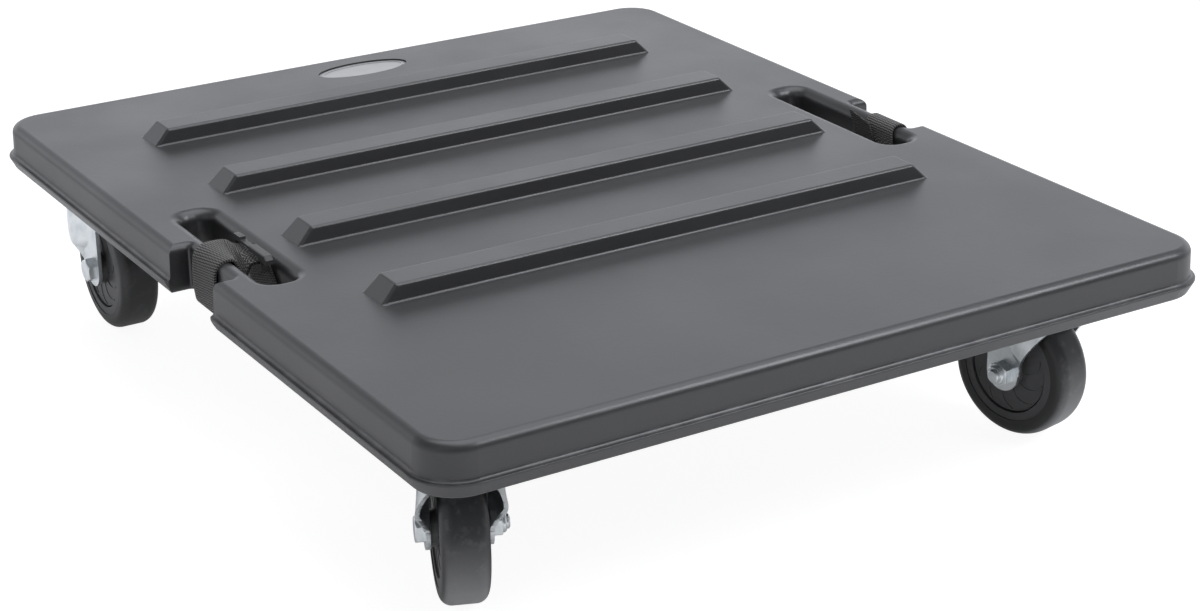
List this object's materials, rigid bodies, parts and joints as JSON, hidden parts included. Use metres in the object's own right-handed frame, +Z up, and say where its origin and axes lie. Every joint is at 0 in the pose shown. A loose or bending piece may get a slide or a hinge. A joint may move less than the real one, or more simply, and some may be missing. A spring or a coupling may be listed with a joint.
{
  "type": "caster platform",
  "caption": "Low moulded rolling platform with load ribs, strap slots with webbing in its side rims, an oval badge plate, and plate casters that swivel and roll.",
  "frame": {"origin": "on the floor under the middle of the deck", "axes": "+X across the deck along the ribs, +Y to the badge end, +Z up"},
  "size_m": [0.6172, 0.7428, 0.178],
  "materials": {
    "deck_plastic": "satin moulded",
    "badge": "satin",
    "webbing": "woven",
    "buckle_plastic": "satin",
    "zinc": "bright zinc plate",
    "ball_steel": "polished",
    "insert_brass": "turned",
    "hub_plastic": "satin",
    "tyre_rubber": "matt"
  },
  "bodies": {
    "platform": {"deck": "deck_plastic", "badge_plate": "badge", "left_strap": "webbing", "left_buckle": "buckle_plastic", "right_strap": "webbing", "plate_bolts": "zinc", "plate_washers": "zinc", "deck_inserts": "insert_brass", "front_left_top_plate": "zinc", "front_left_kingpin": "zinc", "front_left_lower_cup": "zinc", "front_left_upper_balls": "ball_steel", "front_left_lower_balls": "ball_steel", "front_right_top_plate": "zinc", "front_right_kingpin": "zinc", "front_right_lower_cup": "zinc", "front_right_upper_balls": "ball_steel", "front_right_lower_balls": "ball_steel", "rear_left_top_plate": "zinc", "rear_left_kingpin": "zinc", "rear_left_lower_cup": "zinc", "rear_left_upper_balls": "ball_steel", "rear_left_lower_balls": "ball_steel", "rear_right_top_plate": "zinc", "rear_right_kingpin": "zinc", "rear_right_lower_cup": "zinc", "rear_right_upper_balls": "ball_steel", "rear_right_lower_balls": "ball_steel"},
    "front_left_swivel": {"front_left_fork": "zinc", "front_left_axle_bolt": "zinc", "front_left_axle_nut": "zinc", "front_left_axle_sleeve": "zinc"},
    "front_left_wheel": {"front_left_wheel_hub": "hub_plastic", "front_left_tyre": "tyre_rubber"},
    "front_right_swivel": {"front_right_fork": "zinc", "front_right_axle_bolt": "zinc", "front_right_axle_nut": "zinc", "front_right_axle_sleeve": "zinc"},
    "front_right_wheel": {"front_right_wheel_hub": "hub_plastic", "front_right_tyre": "tyre_rubber"},
    "rear_left_swivel": {"rear_left_fork": "zinc", "rear_left_axle_bolt": "zinc", "rear_left_axle_nut": "zinc", "rear_left_axle_sleeve": "zinc"},
    "rear_left_wheel": {"rear_left_wheel_hub": "hub_plastic", "rear_left_tyre": "tyre_rubber"},
    "rear_right_swivel": {"rear_right_fork": "zinc", "rear_right_axle_bolt": "zinc", "rear_right_axle_nut": "zinc", "rear_right_axle_sleeve": "zinc"},
    "rear_right_wheel": {"rear_right_wheel_hub": "hub_plastic", "rear_right_tyre": "tyre_rubber"}
  },
  "joints": [
    {"name": "front_left_swivel_turn", "type": "hinge", "parent": "platform", "child": "front_left_swivel", "pos_m": [-0.243, -0.2833, 0.115], "axis": [0, 0, 1], "continuous": true},
    {"name": "front_left_wheel_spin", "type": "hinge", "parent": "front_left_swivel", "child": "front_left_wheel", "pos_m": [-0.23246, -0.25682, 0.0508], "axis": [0.9291, -0.3697, 0], "continuous": true},
    {"name": "front_right_swivel_turn", "type": "hinge", "parent": "platform", "child": "front_right_swivel", "pos_m": [0.243, -0.2833, 0.115], "axis": [0, 0, 1], "continuous": true},
    {"name": "front_right_wheel_spin", "type": "hinge", "parent": "front_right_swivel", "child": "front_right_wheel", "pos_m": [0.23732, -0.25537, 0.0508], "axis": [0.9799, 0.1994, 0], "continuous": true},
    {"name": "rear_left_swivel_turn", "type": "hinge", "parent": "platform", "child": "rear_left_swivel", "pos_m": [-0.243, 0.3253, 0.115], "axis": [0, 0, 1], "continuous": true},
    {"name": "rear_left_wheel_spin", "type": "hinge", "parent": "rear_left_swivel", "child": "rear_left_wheel", "pos_m": [-0.243, 0.2968, 0.0508], "axis": [-1, 0, 0], "continuous": true},
    {"name": "rear_right_swivel_turn", "type": "hinge", "parent": "platform", "child": "rear_right_swivel", "pos_m": [0.243, 0.3253, 0.115], "axis": [0, 0, 1], "continuous": true},
    {"name": "rear_right_wheel_spin", "type": "hinge", "parent": "rear_right_swivel", "child": "rear_right_wheel", "pos_m": [0.22962, 0.30014, 0.0508], "axis": [-0.8829, 0.4695, 0], "continuous": true}
  ]
}
